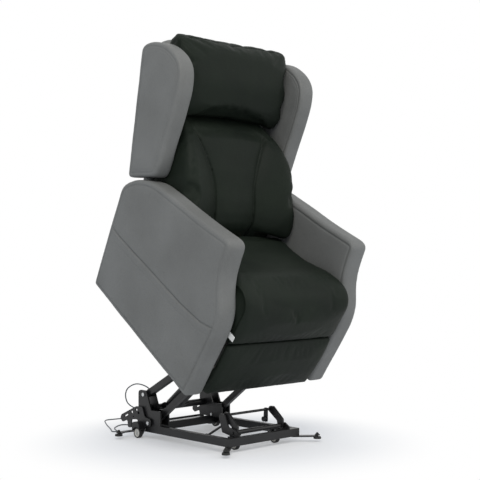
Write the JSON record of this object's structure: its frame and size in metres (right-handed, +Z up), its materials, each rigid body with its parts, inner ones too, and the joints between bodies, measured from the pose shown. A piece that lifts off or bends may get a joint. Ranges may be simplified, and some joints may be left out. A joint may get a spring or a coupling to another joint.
{
  "type": "lift recliner chair",
  "caption": "Upholstered lift recliner armchair shown raised and tilted on a link-arm steel base with castors; winged back, head pillow, padded seat, folded legrest.",
  "frame": {"origin": "on the floor, in the chair's plane of symmetry, under the middle of the raised chair", "axes": "+Z up, -Y the way the sitter faces, +X the sitter's left"},
  "size_m": [0.74, 1.1454, 1.5776],
  "materials": {
    "black_steel": "satin",
    "zinc_steel": "satin",
    "black_plastic": "matte",
    "foot_rubber": "matte",
    "wheel_rubber": "satin",
    "ply": "matte",
    "dark_leatherette": "matte",
    "grey_leatherette": "matte",
    "white_textile": "matte"
  },
  "bodies": {
    "base": {"rail_right": "black_steel", "rail_left": "black_steel", "rail_front": "black_steel", "rail_rear": "black_steel", "tower_right": "black_steel", "tower_left": "black_steel", "rear_cross_tube": "black_steel", "outrigger_front_right": "black_steel", "outrigger_front_left": "black_steel", "outrigger_rear_right": "black_steel", "outrigger_rear_left": "black_steel", "stabiliser_feet": "foot_rubber", "rocker_lugs": "black_steel", "link_pins_base": "zinc_steel", "actuator_lead": "black_plastic", "supply_lead": "black_plastic"},
    "upper_links": {"upper_link_right": "black_steel", "upper_link_left": "black_steel"},
    "lower_links": {"lower_link_right": "black_steel", "lower_link_left": "black_steel", "link_pins_lower": "zinc_steel"},
    "lift_actuator_body": {"lift_actuator": "black_plastic", "lift_motor": "black_plastic"},
    "lift_actuator_rod": {"lift_rod": "zinc_steel"},
    "seat_unit": {"chassis_right": "black_steel", "chassis_left": "black_steel", "chassis_tubes": "black_steel", "link_pins_seat": "zinc_steel", "seat_box": "ply", "seat_cushion": "dark_leatherette", "care_tab": "white_textile", "side_panel_right": "grey_leatherette", "side_panel_left": "grey_leatherette"},
    "backrest": {"back_arms": "black_steel", "back_lever_tube": "black_steel", "back_shell": "grey_leatherette", "back_cushion": "dark_leatherette", "head_pillow": "dark_leatherette", "wing_right": "grey_leatherette", "wing_left": "grey_leatherette"},
    "back_actuator_body": {"back_actuator": "black_plastic"},
    "back_actuator_rod": {"back_rod": "zinc_steel"},
    "legrest_links": {"legrest_link_right": "black_steel", "legrest_link_left": "black_steel"},
    "legrest_struts": {"legrest_strut_right": "black_steel", "legrest_strut_left": "black_steel"},
    "legrest": {"legrest_board": "ply", "legrest_pad": "dark_leatherette"},
    "castor_rocker": {"castor_rocker": "black_steel", "rocker_roller": "black_steel"},
    "castor_fork_right": {"castor_fork_right": "black_plastic"},
    "castor_fork_left": {"castor_fork_left": "black_plastic"},
    "front_wheel_right": {"front_wheel_right": "wheel_rubber"},
    "front_wheel_left": {"front_wheel_left": "wheel_rubber"},
    "rear_castor_levers": {"rear_castor_lever_right": "black_steel", "rear_castor_lever_left": "black_steel", "lever_tie_bar": "black_steel"},
    "rear_wheel_right": {"rear_wheel_right": "wheel_rubber"},
    "rear_wheel_left": {"rear_wheel_left": "wheel_rubber"}
  },
  "joints": [
    {"name": "lift", "type": "hinge", "parent": "base", "child": "upper_links", "pos_m": [0, 0.2773, 0.172], "axis": [1, 0, 0], "range_deg": [0, 28.8]},
    {"name": "seat_tilt", "type": "hinge", "parent": "upper_links", "child": "seat_unit", "pos_m": [0, -0.12721, 0.39283], "axis": [1, 0, 0], "range_deg": [-65, 0]},
    {"name": "lower_link_swing", "type": "hinge", "parent": "base", "child": "lower_links", "pos_m": [0, 0.2353, 0.063], "axis": [1, 0, 0], "range_deg": [0, 29]},
    {"name": "lift_actuator_swing", "type": "hinge", "parent": "base", "child": "lift_actuator_body", "pos_m": [-0.07, 0.2623, 0.122], "axis": [1, 0, 0], "range_deg": [0, 30]},
    {"name": "lift_rod_stroke", "type": "slide", "parent": "lift_actuator_body", "child": "lift_actuator_rod", "axis": [0, -0.7864, 0.6177], "range_m": [-0.056, 0]},
    {"name": "recline", "type": "hinge", "parent": "seat_unit", "child": "backrest", "pos_m": [0, 0.09272, 0.75119], "axis": [-1, 0, 0], "range_deg": [0, 40]},
    {"name": "back_actuator_swing", "type": "hinge", "parent": "seat_unit", "child": "back_actuator_body", "pos_m": [0.06, -0.07598, 0.50129], "axis": [-1, 0, 0], "range_deg": [0, 2]},
    {"name": "back_rod_stroke", "type": "slide", "parent": "back_actuator_body", "child": "back_actuator_rod", "axis": [0, 0.763, 0.6464], "range_m": [-0.061, 0]},
    {"name": "legrest_extend", "type": "hinge", "parent": "seat_unit", "child": "legrest_links", "pos_m": [0, -0.19287, 0.46507], "axis": [-1, 0, 0], "range_deg": [0, 136.2]},
    {"name": "legrest_elbow", "type": "hinge", "parent": "legrest_links", "child": "legrest_struts", "pos_m": [0, -0.08467, 0.49626], "axis": [-1, 0, 0], "range_deg": [-85, 0]},
    {"name": "legrest_board_turn", "type": "hinge", "parent": "legrest_struts", "child": "legrest", "pos_m": [0, -0.20297, 0.30983], "axis": [-1, 0, 0], "range_deg": [0, 27]},
    {"name": "castor_lift", "type": "hinge", "parent": "base", "child": "rear_castor_levers", "pos_m": [0, 0.2353, 0.063], "axis": [1, 0, 0], "range_deg": [0, 18]},
    {"name": "rocker_turn", "type": "hinge", "parent": "base", "child": "castor_rocker", "pos_m": [0, -0.1867, 0.068], "axis": [1, 0, 0], "range_deg": [0, 30.5]},
    {"name": "front_castor_swivel_right", "type": "hinge", "parent": "castor_rocker", "child": "castor_fork_right", "pos_m": [-0.107, -0.1527, 0.05], "axis": [0, 0, 1], "continuous": true},
    {"name": "front_wheel_roll_right", "type": "hinge", "parent": "castor_fork_right", "child": "front_wheel_right", "pos_m": [-0.107, -0.1687, 0.021], "axis": [1, 0, 0], "continuous": true},
    {"name": "rear_wheel_roll_right", "type": "hinge", "parent": "rear_castor_levers", "child": "rear_wheel_right", "pos_m": [-0.21, 0.2853, 0.021], "axis": [1, 0, 0], "continuous": true},
    {"name": "front_castor_swivel_left", "type": "hinge", "parent": "castor_rocker", "child": "castor_fork_left", "pos_m": [0.107, -0.1527, 0.05], "axis": [0, 0, 1], "continuous": true},
    {"name": "front_wheel_roll_left", "type": "hinge", "parent": "castor_fork_left", "child": "front_wheel_left", "pos_m": [0.107, -0.1687, 0.021], "axis": [1, 0, 0], "continuous": true},
    {"name": "rear_wheel_roll_left", "type": "hinge", "parent": "rear_castor_levers", "child": "rear_wheel_left", "pos_m": [0.21, 0.2853, 0.021], "axis": [1, 0, 0], "continuous": true}
  ],
  "couplings": [
    {"joint": "seat_tilt", "follows": "lift", "ratio": -2.2435},
    {"joint": "lower_link_swing", "follows": "lift", "ratio": 0.9909},
    {"joint": "lift_actuator_swing", "follows": "lift", "ratio": 1.0163},
    {"joint": "lift_rod_stroke", "follows": "lift", "m_per_rad": -0.10826},
    {"joint": "back_actuator_swing", "follows": "recline", "ratio": 0.0225},
    {"joint": "back_rod_stroke", "follows": "recline", "m_per_rad": -0.08537},
    {"joint": "legrest_elbow", "follows": "legrest_extend", "ratio": -0.616},
    {"joint": "legrest_board_turn", "follows": "legrest_extend", "ratio": 0.193},
    {"joint": "rocker_turn", "follows": "castor_lift", "ratio": 1.6667}
  ]
}
